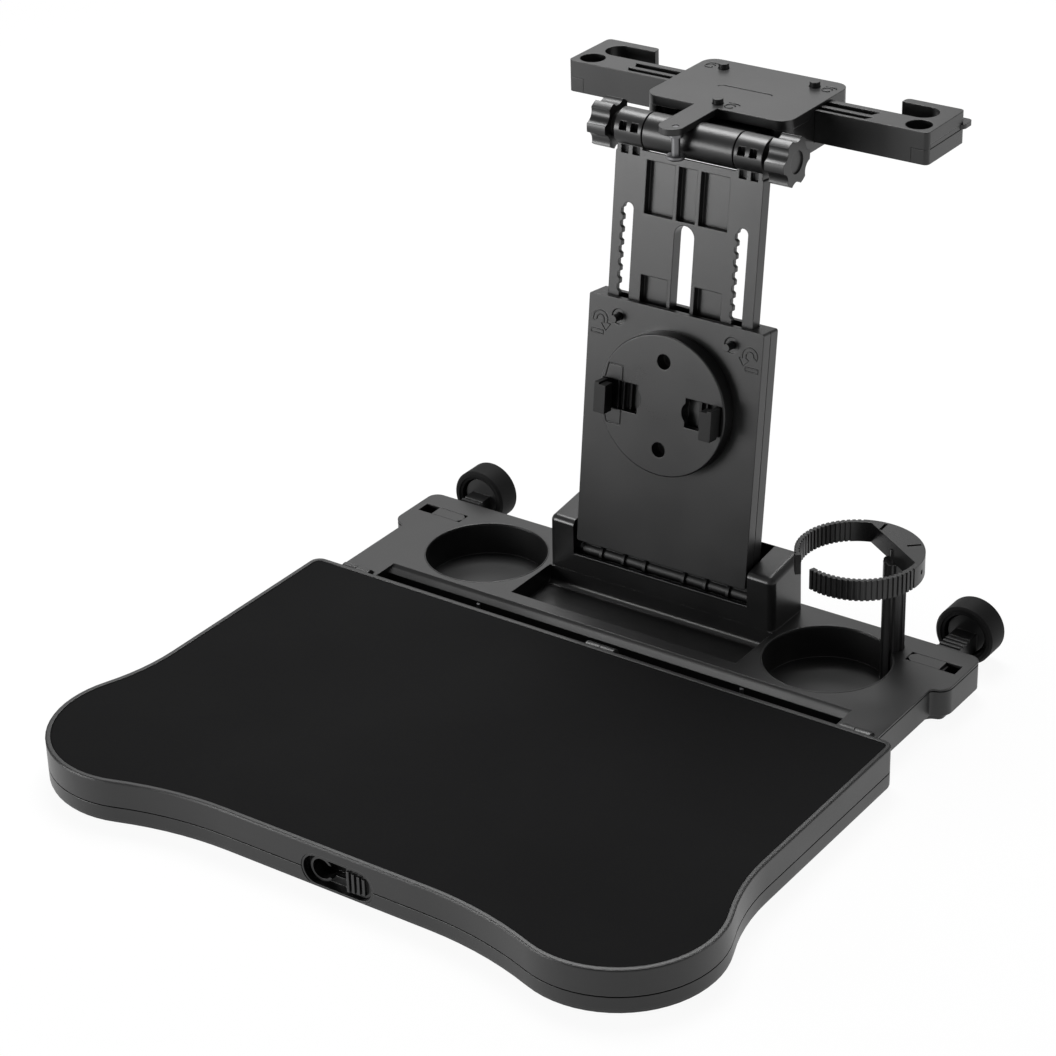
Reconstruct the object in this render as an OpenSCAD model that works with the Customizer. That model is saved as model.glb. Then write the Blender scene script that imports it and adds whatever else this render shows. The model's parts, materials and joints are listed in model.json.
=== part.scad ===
// A folding tray that hangs on the head restraint of a car seat. A base with two cup recesses carries a
// hinged table in front, a telescopic mast with a turning holder disc behind, and a bracket with two
// hooked arms on top of the mast. All lengths are in millimetres, angles in degrees.
// The origin is on the underside, midway between the two cup recesses. The table points to -Y.

/* [Base] */
// Width of the base over its long side walls
base_w = 388; // [384:1:396]
// Width of the base over the two ears at its back
ear_w = 406.8; // [402:0.2:412]
// Distance from the cup line to the front wall
base_front = 66.5; // [66:0.5:70]
// Distance from the cup line to the rear wall
base_back = 49.6; // [49:0.2:58]
// Height of the top face over the underside
base_h = 23.5; // [23:0.5:28]
// Wall of the moulded shells
wall = 2.4; // [2:0.1:3]
// Distance from the middle to the centre of a cup recess
cup_x = 125.3; // [124:0.1:130]
// Radius of a cup recess
cup_r = 39; // [36:0.5:39.5]
// Half length of the slot that a phone or tablet stands in
slot_half = 167; // [150:1:168]
// Half width of the trough in front of the mast
trough_half = 82; // [70:1:82]
// Depth of the trough
trough_depth = 12.5; // [8:0.5:14]

/* [Mast foot] */
// Half width of the housing that holds the mast
foot_half = 82.5; // [80:0.5:83]
// Front face of the housing, behind the cup line
foot_front = 8.8; // [8:0.2:10]
// Rear face of the housing, behind the cup line
foot_back = 45.6; // [44:0.2:47]
// Height of the housing over the top face, at its front
foot_h = 36; // [30:1:44]
// Height of the low front wall over the top face
foot_sill = 13; // [10:0.5:15]

/* [Table] */
// Width of the table at its rear edge
table_w = 418.4; // [410:0.4:430]
// Distance from the rear edge of the table to its front edge
table_len = 259.9; // [240:0.1:290]
// Thickness of the table
table_t = 28.3; // [26:0.1:32]
// Radius of the two lobes at the front corners
lobe_r = 61.5; // [50:0.5:66]
// How far a lobe reaches in front of the front edge
lobe_out = 15.5; // [8:0.5:20]
// How far a lobe reaches past the side of the table
lobe_side = 14.3; // [8:0.1:20]

/* [Mast] */
// Angle that the mast leans back at rest
mast_lean = 7; // [0:1:10]
// Width of the sleeve
sleeve_w = 123.4; // [120:0.2:125]
// Thickness of the sleeve
sleeve_t = 16; // [16:0.5:18]
// Length of the sleeve
sleeve_len = 163.7; // [140:0.1:180]
// Width of the sliding plate
plate_w = 102.4; // [96:0.2:104]
// Thickness of the sliding plate
plate_t = 8; // [7:0.5:8]
// Free length of the plate above the sleeve
plate_out = 91; // [80:1:100]
// Pitch of the height teeth
tooth_pitch = 8; // [7:0.5:10]
// Radius of the turning disc
disc_r = 44.7; // [40:0.1:50]
// How far the disc stands in front of the sleeve
disc_proud = 10; // [9:0.5:12]

/* [Bracket and arms] */
// Width of the bracket box
box_w = 100; // [96:1:110]
// Depth of the bracket box, front to back
box_d = 75; // [72:1:80]
// Height of the bracket box
box_h = 27.5; // [27:0.5:30]
// Distance from the middle to the end of an arm
arm_reach = 125.6; // [120:0.2:140]
// Height of an arm
arm_h = 20; // [18:0.5:20.5]
// Radius of the hole for a head restraint post
post_hole_r = 8; // [6:0.5:8]
// Width of the hook slot for a head restraint post
hook_w = 18.9; // [14:0.1:19]

/* [Bumpers and cup ring] */
// Distance from the middle to a bumper
bumper_x = 178.2; // [177:0.2:180]
// Radius of a rubber bumper
bumper_r = 19.2; // [16:0.2:19.2]
// How far the left bumper stands behind the cup line
bumper_left_y = 64; // [58:1:80]
// How far the right bumper stands behind the cup line
bumper_right_y = 73; // [58:1:80]
// Outer radius of the cup ring
ring_r = 38.5; // [34:0.5:40]
// Height of the ring's top over the top face of the base
ring_top = 72; // [50:1:80]
// Radius of the fluted post under the ring
ring_post_r = 7.2; // [6:0.1:7.5]

/* [Hidden] */
$fn = 48;
left = -1;
right = 1;
// A length that lets a cut pass through a face
over = 1;
// Clearance of a sliding fit, per side, and the radial clearance of a pin in its bore
slide_gap = 0.3;
pin_gap = 0.05;

// Base shells
plate_top_t = 2;
lip_t = 1.2;
lip_step = 1.2;
side_low = 5.3;
pan_step = 5;
floor_t = 2;
cup_wall = 2.2;
corner_front_r = 3;
ear_concave_r = 3;
ear_convex_r = 9;
ear_rear_r = 7;
plate_low = base_h - plate_top_t;
skirt_x = base_w / 2 - corner_front_r + 0.3;
skirt_low = 17.2;
front_skirt_t = 2.6;

// Trough, phone slot and the low ridge between them
trough_front = -34;
slot_back = -43.3;
slot_front = -62;
slot_depth = 12;
slot_ramp = -49.5;

// Table hinge, with its axis just under the top face of the base
hinge_y = -64;
hinge_z = base_h - 1;
knuckle_r = 4.2;
knuckle_len = 10;
hinge_pin_r = 1.6;
hinge_stations = [-191, -5, 181];

// Table shells
table_back = -68.6;
table_front = table_back - table_len;
parting_z = 11.6;
seam = 0.35;
mat_inset = 3;
mat_t = 1.1;
mat_sink = 0.3;
table_wall = 2.6;
table_top_r = 1.1;
table_low_r = 4;
side_fillet_r = 130;
front_fillet_r = 220;
table_corner_r = 7;
lobe_x = table_w / 2 + lobe_side - lobe_r;
lobe_y = table_front - lobe_out + lobe_r;

// Latch in the front edge of the table
latch_x = -3.5;
latch_z = 12;
latch_left = -15.8;
latch_right = 34;
latch_h = 20.8;
latch_pocket = 9;
latch_room = 6;
latch_room_inset = 3;
latch_plate_t = 2.4;
key_r = 6.25;
key_slot_h = 8;
slider_w = 19;
slider_h = 18;
slider_t = 3;
slider_ribs = 4;

// The mast stands on a line that meets the top face of the base here
mast_y = 22.87;
sleeve_low = 21.3;
sleeve_top = sleeve_low + sleeve_len;
sleeve_half = sleeve_w / 2;
sleeve_split = sleeve_t / 2;
pivot_d = 5;
pivot_s = 13;
barrel_r = 4.8;
barrel_rib_r = 6.4;
barrel_rib_t = 2.2;
mast_pin_r = 3;
mast_pin_half = 72;

// Sliding plate, measured along the mast from the top face of the base and forwards from its rear face
plate_back = 3.9;
plate_front = plate_back + plate_t;
plate_low_s = 105.5;
plate_top_s = sleeve_top + plate_out;
tooth_x = 40;
tooth_slot_w = 7;
tooth_slot_low = 138;
tooth_slot_top = sleeve_top + 59.6;
tooth_depth = 1.6;
centre_slot_w = 14;
centre_slot_top = sleeve_top + 53;
pocket_depth = 4.6;
plate_skin = 3;
plate_flange = 2;
plate_rib = 30;
plate_lip_t = 1.7;
plate_lip = 2;

// Release buttons of the sleeve
release_x = tooth_x;
release_s = sleeve_top - 11.4;
release_r = 2.3;
release_proud = 6.5;
release_ring_r = 4.9;

// Turning disc and its two jaws
disc_s = 128.2;
disc_back = sleeve_t + slide_gap;
disc_front = sleeve_t + disc_proud;
hub_r = 11.7;
retainer_r = 15.2;
jaw_slot_in = 15;
jaw_slot_out = 42.2;
jaw_notch_r = 7.5;
jaw_notch_x = 22;
jaw_slot_h = 22.6;
jaw_floor = 2.2;
jaw_step = 3;
jaw_in = 24;
jaw_out = 41.6;
jaw_wall = 8;
jaw_ribs_at = [27, 31];
jaw_drop = 1.2;
jaw_h = 18;
jaw_reach = 10.7;
disc_hole_r = 4.75;
disc_hole_s = 28.2;

// Bracket hinge on top of the mast
bolt_y = 53.5;
bolt_z = base_h + 287;
bolt_r = 4;
barrel2_r = 11.5;
barrel2_half = 31;
knuckle2_in = 32;
knuckle2_out = 51;
knob_in = 53;
knob_out = 68;
knob_r = 15;
knob_lobes = 6;

// Bracket box, arms and the catch tongue
box_front = 73;
box_back = box_front + box_d;
box_top = base_h + 301.2;
box_low = box_top - box_h;
cover_h = 6;
cover_t = 1.6;
cover_low = box_top - cover_h;
box_r = 9;
box_floor_t = 3;
arm_y0 = 104.2;
arm_y1 = 124.6;
arm_top = box_top - cover_t - slide_gap;
arm_low = arm_top - arm_h;
arm_split = arm_low + 9.1;
arm_inner = 46.5;
arm_tail = 22;
arm_back = 150;
arm_corner_r = 5;
prong_in = 87;
prong_t = 6.5;
hook_end = arm_reach - 9.6;
post_x = arm_reach - 11.5;
post_y = (arm_y0 + arm_y1) / 2;
lock_gap = 3.2;
lock_t = 2.8;
lock_strip = 2.6;
skirt_t = 1.8;
skirt_end = 11;
tongue_x = -6;
tongue_w = 16;
tongue_t = 4;
tongue_tip = 28;
link_half = 29;
link_low = 8;
link_top = 4.5;
catch_y = 36;
catch_drop = 20.5;
button_r = 3.25;
button_proud = 3.2;
arm_button_x = 32;
arm_button_y = 135.5;
front_button_x = -2.5;
front_button_y = 81;

// Bumper stems and their release tabs
bumper_z = bumper_r + 0.1;
bumper_t = 19;
bumper_cup = 7;
stem_half = 7.2;
stem_low = 9.2;
stem_top = plate_low - slide_gap;
stem_in = 72;
stem_tooth = 4;
tab_in = 165;
tab_out = 187.5;
tab_front = 24.5;
tab_back = 34;
tab_window_out = 198;

// Cup ring and its post
post_at = [151, 33.5];
ring_at = [138.5, 12.5];
ring_h = 13;
ring_inner_r = ring_r - 3.5;
ring_thick_at = 57;
ring_thick_from = 22;
ring_gap_from = 222;
ring_gap_to = 250;
ring_low = base_h + ring_top - ring_h;
ring_pivot_r = 3;
ring_pivot_h = 7.5;
flutes = 8;

// Colours, as the photograph shows them
black = [0.07, 0.07, 0.075];
dark = [0.045, 0.045, 0.05];
mat_black = [0.03, 0.03, 0.032];
steel = [0.55, 0.55, 0.57];

// Screws: head radius, head height and shank radius
screw_head_r = 2.6;
screw_head_h = 1.6;
screw_r = 1.3;

// Points along an arc from angle a0 to angle a1, both ends included
function arc(cx, cy, r, a0, a1, n = 6) =
    [for (i = [0 : n]) let (a = a0 + (a1 - a0) * i / n) [cx + r * cos(a), cy + r * sin(a)]];

// The same points without the last one, which the next arc starts with
function arc_open(cx, cy, r, a0, a1, n = 6) = [for (i = [0 : n - 1]) arc(cx, cy, r, a0, a1, n)[i]];

// A right-hand half outline, closed by its own mirror image
function closed(half) = concat(half, [for (i = [len(half) - 1 : -1 : 0]) [-half[i][0], half[i][1]]]);

// A rectangle with round corners
function round_rect(x0, y0, x1, y1, r, n = 4) = concat(
    arc(x1 - r, y0 + r, r, -90, 0, n),
    arc(x1 - r, y1 - r, r, 0, 90, n),
    arc(x0 + r, y1 - r, r, 90, 180, n),
    arc(x0 + r, y0 + r, r, 180, 270, n));

// A round outer corner at [x, y], set in by a distance; sx and sy say which quarter it is in
function corner(x, y, sx, sy, r, inset, a0, a1, n) =
    let (rest = max(r - inset, 0.3))
    arc(x - sx * (inset + rest), y - sy * (inset + rest), rest, a0, a1, n);

// Outline of the base: straight sides that step out to the ears, set in by a distance
function base_outline(inset) =
    let (dx = (base_w - ear_w) / 2 + ear_concave_r + ear_convex_r,
         dy = sqrt(pow(ear_concave_r + ear_convex_r, 2) - dx * dx),
         turn = atan2(dy, dx))
    closed(concat(
        corner(base_w / 2, -base_front, 1, -1, corner_front_r, inset, -90, 0, 3),
        arc_open(base_w / 2 + ear_concave_r, 0, ear_concave_r + inset, 180, 180 - turn, 4),
        arc(ear_w / 2 - ear_convex_r, dy, ear_convex_r - inset, -turn, 0, 6),
        corner(ear_w / 2, base_back, 1, 1, ear_rear_r, inset, 0, 90, 6)));

// Outline of the table: a round lobe at each front corner, blended into the side and the front edge
function table_outline(inset) =
    let (front_c = [lobe_x - sqrt(pow(front_fillet_r + lobe_r, 2) - pow(lobe_y - table_front + front_fillet_r, 2)),
                    table_front - front_fillet_r],
         side_dx = table_w / 2 + side_fillet_r - lobe_x,
         side_c = [lobe_x + side_dx, lobe_y + sqrt(pow(side_fillet_r + lobe_r, 2) - side_dx * side_dx)],
         front_a = atan2(lobe_y - front_c[1], lobe_x - front_c[0]),
         side_a = atan2(side_c[1] - lobe_y, side_dx))
    closed(concat(
        arc_open(front_c[0], front_c[1], front_fillet_r + inset, 90, front_a, 7),
        arc_open(lobe_x, lobe_y, lobe_r - inset, front_a - 180, side_a, 22),
        arc(side_c[0], side_c[1], side_fillet_r + inset, 180 + side_a, 180, 6),
        arc(table_w / 2 - table_corner_r, table_back - table_corner_r, table_corner_r - inset, 0, 90, 5)));

// A level slab between two heights
module level(outline, z0, z1) {
    translate([0, 0, z0]) linear_extrude(z1 - z0) polygon(outline);
}

// A round edge of radius r in n steps: how far step i is set in, and how high it starts
function rounding_in(r, i, n) = r * (1 - sin(90 * (i + 0.5) / n));
function rounding_up(r, i, n) = r * (1 - cos(90 * i / n));

// A box given by its low and high corners
module span(low, high) {
    translate(low) cube(high - low);
}

// A cylinder along X between two places
module along_x(x0, x1, y, z, r) {
    translate([x0, y, z]) rotate([0, 90, 0]) cylinder(r = r, h = x1 - x0);
}

// Places that lie on the mast: X across it, -Y forwards from its rear face and Z along it
module on_mast() {
    translate([0, mast_y, base_h]) rotate([-mast_lean, 0, 0]) children();
}

// A flat shape in the plane of the mast, from depth d0 to depth d1
module depth(d0, d1) {
    translate([0, -d0, 0]) rotate([90, 0, 0]) linear_extrude(d1 - d0) children();
}

// A rectangle given by its corners
module rect(x0, y0, x1, y1) {
    translate([x0, y0]) square([x1 - x0, y1 - y0]);
}

// A slot along Y with round ends
module long_hole(x, y0, y1, w) {
    rect(x - w / 2, y0 + w / 2, x + w / 2, y1 - w / 2);
    translate([x, y0 + w / 2]) circle(w / 2);
    translate([x, y1 - w / 2]) circle(w / 2);
}

// A screw that points up, with its head at the bottom
module screw(length) {
    difference() {
        union() {
            cylinder(r = screw_head_r, h = screw_head_h);
            cylinder(r = screw_r, h = length);
        }
        for (a = [0, 90]) rotate(a) translate([-1.5, -0.25, -over]) cube([3, 0.5, over + 0.8]);
    }
}

// The hole that a screw passes through, with a seat for its head
module screw_hole(length) {
    translate([0, 0, -over]) cylinder(r = screw_head_r + 0.2, h = screw_head_h + over + 0.1);
    translate([0, 0, -over]) cylinder(r = screw_r + pin_gap, h = length + over + 0.4);
}

// The post housing, set in on every side by a distance, with round edges at its front and sides
module foot_block(inset, low) {
    r = 4.5;
    half = foot_half - r;
    rise = 3.5;
    hull() for (side = [left, right]) {
        translate([side * half, foot_front + r, low]) cylinder(r = r - inset, h = 1, $fn = 32);
        translate([side * half, foot_back - r, low]) cylinder(r = r - inset, h = 1, $fn = 32);
        translate([side * (half - 0.6), foot_front + r, base_h + foot_h - r]) sphere(r = r - inset, $fn = 32);
        translate([side * (half - 0.6), foot_back - r, base_h + foot_h + rise - r]) sphere(r = r - inset, $fn = 32);
    }
}

// Screw places of the base, as [x, y]
base_screw_at = [[-178, -50], [178, -50], [-96, -50], [96, -50], [-90, 37.5], [90, 37.5]];
base_screw_len = base_h - plate_top_t - 3;

// Upper shell of the base, with the cup recesses, the trough, the phone slot and the housing of the mast
module base_top() {
    color(black) difference() {
        union() {
            level(base_outline(0), base_h - lip_t, base_h);
            level(base_outline(lip_step), plate_low, base_h - lip_t);
            for (side = [left, right]) translate([side * cup_x, 0, 0]) cylinder(r = cup_r + cup_wall, h = base_h - over);
            translate([post_at[0], post_at[1], 0]) cylinder(r = ring_post_r + 2, h = base_h - over);
            span([-trough_half - floor_t, trough_front - floor_t, base_h - trough_depth - floor_t],
                [trough_half + floor_t, foot_front + over, base_h - over]);
            span([-slot_half - floor_t, slot_front - floor_t, base_h - slot_depth - floor_t],
                [slot_half + floor_t, slot_back + floor_t, base_h - over]);
            foot_block(0, base_h - trough_depth - floor_t);
            span([-skirt_x, -base_front, skirt_low], [skirt_x, -base_front + front_skirt_t, plate_low + 0.5]);
            for (x = hinge_stations) {
                along_x(x, x + knuckle_len, hinge_y, hinge_z, knuckle_r);
                span([x, hinge_y, hinge_z - knuckle_r + 0.4], [x + knuckle_len, hinge_y + 8, base_h - 0.4]);
            }
            for (p = base_screw_at) translate([p[0], p[1], floor_t + 4]) cylinder(r = 3.4, h = plate_low - floor_t - 3);
        }
        cup_cuts();
        translate([post_at[0], post_at[1], -over]) cylinder(r = ring_post_r + 0.15, h = base_h + 2 * over);
        trough_cut();
        phone_slot_cut();
        foot_cuts();
        table_knuckle_room();
        for (x = hinge_stations) along_x(x - over, x + knuckle_len + over, hinge_y, hinge_z, hinge_pin_r + pin_gap);
        for (side = [left, right]) mirror([side == left ? 1 : 0, 0, 0])
            span([tab_in - slide_gap, tab_front - slide_gap, plate_low - over],
                [tab_window_out, tab_back + slide_gap, base_h + over]);
        for (p = base_screw_at) translate([p[0], p[1], 0]) screw_hole(base_screw_len);
    }
}

// The two cup recesses, each with a small bevel at its mouth
module cup_cuts() {
    for (side = [left, right]) translate([side * cup_x, 0, 0]) {
        translate([0, 0, floor_t]) cylinder(r = cup_r, h = base_h);
        translate([0, 0, base_h - 0.8]) cylinder(r1 = cup_r, r2 = cup_r + 1.6, h = 1.6);
    }
}

// The trough between the phone slot and the housing, with a round foot at the housing
module trough_cut() {
    r = 4;
    low = base_h - trough_depth;
    difference() {
        span([-trough_half, trough_front, low], [trough_half, foot_front, base_h + over]);
        difference() {
            span([-trough_half - over, foot_front - r, low - over], [trough_half + over, foot_front + over, low + r]);
            along_x(-trough_half - 2 * over, trough_half + 2 * over, foot_front - r, low + r, r);
        }
    }
}

// The phone slot: a long groove with a gently sloping ledge behind it
module phone_slot_cut() {
    low = base_h - slot_depth;
    translate([-slot_half, 0, 0]) rotate([90, 0, 90]) linear_extrude(2 * slot_half)
        polygon([[slot_back, base_h + over], [slot_back, base_h], [slot_back - 1.1, base_h - 1.3],
            [slot_back - 2.6, base_h - 1.9], [slot_ramp, base_h - 3.8], [slot_ramp - 0.5, low],
            [slot_front, low], [slot_front, base_h + over]]);
}

// The well of the housing between its two posts, the low front wall and the hollow of each post
module foot_cuts() {
    inner = sleeve_half + 1.8;
    span([-inner, foot_front + wall, base_h], [inner, foot_back - wall, base_h + 2 * foot_h]);
    span([-inner, foot_front - over, base_h + foot_sill], [inner, foot_front + wall + over, base_h + 2 * foot_h]);
    difference() {
        foot_block(wall, base_h - trough_depth - floor_t - over);
        span([-inner - wall, foot_front - over, 0], [inner + wall, foot_back + over, base_h + 2 * foot_h]);
    }
    on_mast() along_x(-mast_pin_half, mast_pin_half, -pivot_d, pivot_s, mast_pin_r + pin_gap);
}

// Room for the knuckles of the table to turn in
module table_knuckle_room() {
    for (x = hinge_stations)
        span([knuckle_from(x) - slide_gap, hinge_y - 8, hinge_z - knuckle_r - 0.8],
            [knuckle_from(x) + knuckle_len + slide_gap, hinge_y + knuckle_r + 0.8, base_h + knuckle_r + 3]);
}

// Where the table's knuckle starts beside the base's knuckle that starts at x, always on its inner side
function knuckle_from(x) = x > 100 ? x - knuckle_len - slide_gap : x + knuckle_len + slide_gap;

// Lower shell of the base: side walls, a stepped pan, guides for the bumper stems and holes for the cups
module base_bottom() {
    color(black) difference() {
        union() {
            difference() {
                union() {
                    level(base_outline(0), side_low, plate_low);
                    level(base_outline(pan_step), 0, side_low + over);
                }
                level(base_outline(wall), side_low + floor_t, base_h);
                level(base_outline(pan_step + wall), floor_t, base_h);
                span([-skirt_x, -base_front - over, skirt_low], [skirt_x, -base_front + wall + over, base_h]);
            }
            for (side = [left, right]) translate([side * bumper_x, 0, 0]) stem_guide();
            for (p = base_screw_at) translate([p[0], p[1], 0]) cylinder(r = 4.4, h = floor_t + 3.7);
        }
        for (side = [left, right]) {
            translate([side * cup_x, 0, -over]) cylinder(r = cup_r + cup_wall + 0.4, h = base_h);
            translate([side * bumper_x - stem_half - slide_gap, foot_back - 4, stem_low - slide_gap])
                cube([2 * (stem_half + slide_gap), 10 + base_back - foot_back, base_h]);
        }
        translate([post_at[0], post_at[1], -over]) cylinder(r = ring_post_r + 2.4, h = base_h);
        table_knuckle_room();
        for (x = hinge_stations) span([x - slide_gap, -base_front - over, hinge_z - knuckle_r - 0.6],
            [x + knuckle_len + slide_gap, -base_front + 8, base_h]);
        for (p = base_screw_at) translate([p[0], p[1], 0]) screw_hole(base_screw_len);
    }
}

// A channel that a bumper stem slides in, hollow underneath
module stem_guide() {
    side_t = 2;
    half = stem_half + slide_gap + side_t;
    difference() {
        span([-half, -30, floor_t - 0.5], [half, base_back - wall + 0.5, 15]);
        span([-half + side_t, -30 - over, stem_low - slide_gap], [half - side_t, base_back, 16]);
        span([-half + side_t, -30 - over, 0], [half - side_t, base_back - wall - 4, stem_low - slide_gap - 2]);
    }
}

// Screws that join the two base shells from below
module base_screws() {
    color(steel) for (p = base_screw_at) translate([p[0], p[1], 0.1]) screw(base_screw_len);
}

// Screw places of the table, as [x, y]
table_screw_at = [for (x = [-150, -50, 50, 150]) for (y = [-100, -270]) [x, y]];
table_screw_len = 20;

// Upper shell of the table: a raised rim round the sunk mat, hollow from below, with the hinge knuckles
module table_upper() {
    floor_z = table_t - mat_sink - mat_t;
    color(black) difference() {
        union() {
            difference() {
                union() {
                    level(table_outline(seam), parting_z, parting_z + over);
                    level(table_outline(0), parting_z + seam, table_t - table_top_r);
                    for (i = [0 : 2]) level(table_outline(rounding_in(table_top_r, i, 3)),
                        parting_z + over, table_t - rounding_up(table_top_r, i, 3));
                }
                level(table_outline(table_wall), parting_z - over, floor_z - 2.2);
                level(table_outline(mat_inset), floor_z, table_t + over);
            }
            for (p = table_screw_at) translate([p[0], p[1], parting_z]) cylinder(r = 3.4, h = floor_z - parting_z - 1);
            for (x = hinge_stations) table_knuckle(knuckle_from(x));
            latch_pocket_wall(parting_z, parting_z + 14);
        }
        latch_pocket_cut();
        for (p = table_screw_at) translate([p[0], p[1], 0]) screw_hole(table_screw_len);
        for (x = hinge_stations) along_x(knuckle_from(x) - over, knuckle_from(x) + knuckle_len + over,
            hinge_y, hinge_z, hinge_pin_r + pin_gap);
    }
}

// One knuckle of the table with the block that joins it to the rear wall
module table_knuckle(x) {
    along_x(x, x + knuckle_len, hinge_y, hinge_z, knuckle_r);
    span([x, table_back - table_wall / 2, hinge_z - 3.8], [x + knuckle_len, hinge_y, hinge_z + 3.8]);
}

// The capsule-shaped outline of the latch, in X and Z
module latch_capsule(inset) {
    r = latch_h / 2 - inset;
    polygon(concat(arc(latch_right - latch_h / 2, latch_z, r, -90, 90, 13),
        arc(latch_left + latch_h / 2, latch_z, r, 90, 270, 13)));
}

// A flat shape in X and Z, from a place y0 back to a place y1
module backwards(y0, y1) {
    translate([0, y1, 0]) rotate([90, 0, 0]) linear_extrude(y1 - y0) children();
}

// The pocket in the front edge of the table that holds the latch, with room behind it for the catch pin's head
module latch_pocket_cut() {
    back = table_front + latch_pocket;
    backwards(table_front - over, back) latch_capsule(0);
    backwards(back - over, back + latch_room) latch_capsule(latch_room_inset);
}

// The walls round that pocket, between two heights
module latch_pocket_wall(z0, z1) {
    span([latch_left - 2, table_front + table_wall / 2, z0],
        [latch_right + 2, table_front + latch_pocket + latch_room + 2, z1]);
}

// Lower shell of the table, with a rounded lower edge
module table_lower() {
    color(black) difference() {
        union() {
            difference() {
                union() {
                    for (i = [0 : 4]) level(table_outline(rounding_in(table_low_r, i, 5)),
                        rounding_up(table_low_r, i, 5), parting_z - over);
                    level(table_outline(0), table_low_r, parting_z - seam);
                    level(table_outline(seam), parting_z - over, parting_z);
                }
                level(table_outline(5), table_wall, parting_z + over);
            }
            for (p = table_screw_at) translate([p[0], p[1], over]) cylinder(r = 4.6, h = parting_z - over);
            latch_pocket_wall(1.2, parting_z);
        }
        latch_pocket_cut();
        for (p = table_screw_at) translate([p[0], p[1], 0]) screw_hole(table_screw_len);
    }
}

// Thin mat that covers the table inside its rim
module table_mat() {
    color(mat_black) level(table_outline(mat_inset + 0.3), table_t - mat_sink - mat_t, table_t - mat_sink);
}

// Screws that join the two table shells from below
module table_screws() {
    color(steel) for (p = table_screw_at) translate([p[0], p[1], 0.1]) screw(table_screw_len);
}

// Steel pins of the table hinge
module table_hinge_pins() {
    color(steel) for (x = hinge_stations)
        along_x(min(x, knuckle_from(x)) + 0.3, max(x, knuckle_from(x)) + knuckle_len - 0.3, hinge_y, hinge_z, hinge_pin_r);
}

// Plate with the keyhole that takes the catch pin when the table is folded up
module latch_plate() {
    back = table_front + latch_pocket;
    rim = 1.4;
    color(dark) difference() {
        union() {
            backwards(back - latch_plate_t, back) latch_capsule(0.1);
            backwards(table_front + 0.3, back) difference() {
                latch_capsule(0.1);
                latch_capsule(rim);
            }
            backwards(table_front + 3, back) translate([latch_x, latch_z]) circle(key_r + 1.5);
        }
        backwards(table_front, back + over) {
            translate([latch_x, latch_z]) circle(key_r);
            rect(latch_x, latch_z - key_slot_h / 2, latch_right - slider_w, latch_z + key_slot_h / 2);
        }
    }
}

// Ribbed slider that a thumb pushes to free the catch pin
module latch_slider() {
    x1 = latch_right - 1.9;
    x0 = x1 - slider_w + 1;
    r = slider_h / 2 - 1;
    y0 = table_front + 0.5;
    color(dark) union() {
        backwards(y0 + 2, y0 + 2 + slider_t) intersection() {
            rect(x0, latch_z - r, x1, latch_z + r);
            union() {
                rect(x0 - over, latch_z - r, x1 - r, latch_z + r);
                translate([x1 - r, latch_z]) circle(r);
            }
        }
        for (i = [0 : slider_ribs - 1]) {
            x = x0 + 1.2 + i * 3.6;
            span([x, y0, latch_z - r + 1.4 + i * 0.5], [x + 1.7, y0 + 2.5, latch_z + r - 1.4 - i * 0.5]);
        }
    }
}

// Steel pin that the mast tilts on
module mast_hinge_pin() {
    color(steel) on_mast() along_x(0.3 - mast_pin_half, mast_pin_half - 0.3, -pivot_d, pivot_s, mast_pin_r);
}

// Screw places of the sleeve, as [x, s]
sleeve_screw_at = [[-56.5, 32], [56.5, 32], [-56.5, 176], [56.5, 176]];

// Rear shell of the sleeve, with the ribbed hinge barrel at its foot
module sleeve_back() {
    color(black) on_mast() difference() {
        union() {
            depth(0, sleeve_split) polygon(round_rect(-sleeve_half, sleeve_low, sleeve_half, sleeve_top, 1.5));
            along_x(-sleeve_half + 0.7, sleeve_half - 0.7, -pivot_d, pivot_s, barrel_r);
            depth(1, sleeve_split) rect(-sleeve_half + 0.7, pivot_s, sleeve_half - 0.7, sleeve_low + over);
            for (x = [-46.5, -30, -14.3, 14.3, 30, 46.5])
                along_x(x - barrel_rib_t / 2, x + barrel_rib_t / 2, -pivot_d, pivot_s, barrel_rib_r);
        }
        depth(plate_back - slide_gap, sleeve_split + over)
            rect(-plate_w / 2 - slide_gap, sleeve_low + 10, plate_w / 2 + slide_gap, sleeve_top + over);
        along_x(-sleeve_half, sleeve_half, -pivot_d, pivot_s, mast_pin_r + pin_gap);
        sleeve_screw_holes();
    }
}

// Screw holes of the sleeve, with their heads at its rear face
module sleeve_screw_holes() {
    for (p = sleeve_screw_at) translate([p[0], 0, p[1]]) rotate([90, 0, 0]) screw_hole(sleeve_t - 4);
}

// Screws that join the two sleeve shells from behind
module sleeve_screws() {
    color(steel) on_mast() for (p = sleeve_screw_at) translate([p[0], -0.1, p[1]]) rotate([90, 0, 0]) screw(sleeve_t - 4);
}

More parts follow.
